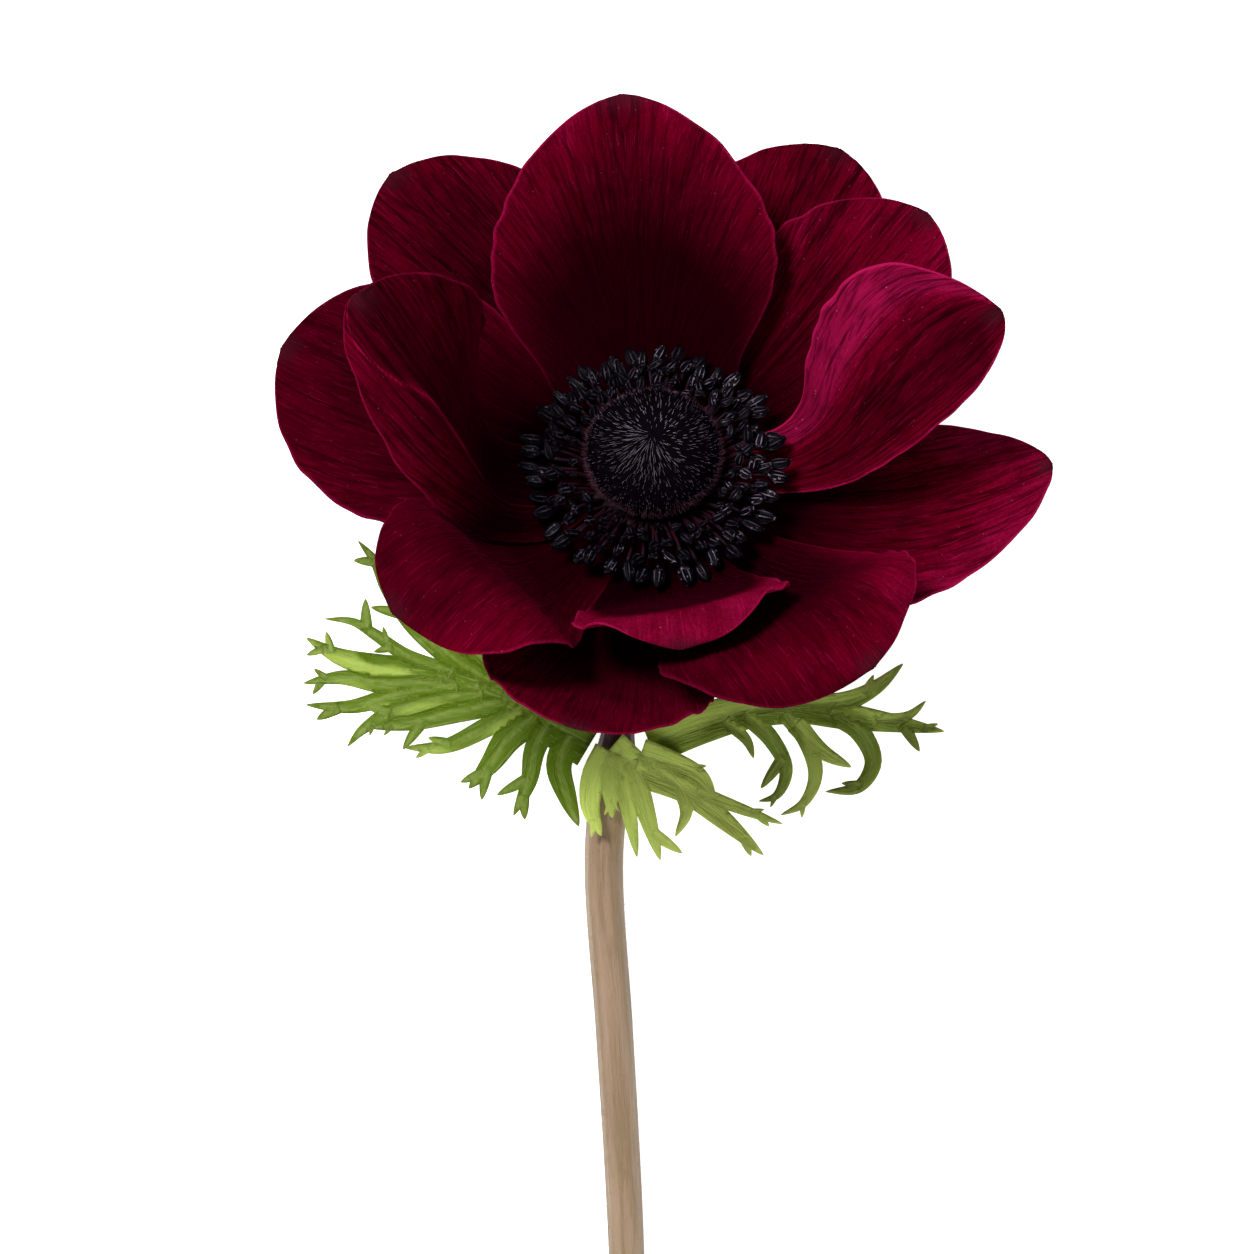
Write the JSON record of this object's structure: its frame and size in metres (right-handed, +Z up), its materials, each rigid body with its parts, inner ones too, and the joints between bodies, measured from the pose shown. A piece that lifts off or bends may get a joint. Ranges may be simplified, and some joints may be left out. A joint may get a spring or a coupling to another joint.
{
  "type": "anemone flower",
  "caption": "Cut anemone flower lying on its back: dark crimson overlapping petals round a dark domed centre ringed by stamens, finely cut green leaves and a bare stem.",
  "frame": {"origin": "centre of the flower's outer box on the surface that it lies on", "axes": "+Z up from the surface, +Y along the stem from its cut end to the bloom"},
  "size_m": [0.0902, 0.166, 0.0592],
  "materials": {
    "tepal": "velvety deep crimson with fine lengthwise veins",
    "stem": "satin pinkish brown with fine ridges",
    "leaf": "satin yellow green with paler ribs",
    "pistil": "near black, densely papillate",
    "stamen": "blue-black anthers on dark purple filaments"
  },
  "bodies": {
    "root": {"stem": "stem", "involucral_leaf_left": "leaf", "involucral_leaf_front": "leaf", "involucral_leaf_right": "leaf", "tepal_top": "tepal", "tepal_right_inner": "tepal", "tepal_front_right": "tepal", "tepal_front": "tepal", "tepal_front_left": "tepal", "tepal_left_inner": "tepal", "tepal_right_upper": "tepal", "tepal_back_right": "tepal", "tepal_back_left": "tepal", "tepal_left_outer": "tepal", "tepal_front_outer": "tepal", "tepal_right_outer": "tepal", "pistil_head": "pistil", "stamens": "stamen"}
  },
  "joints": []
}
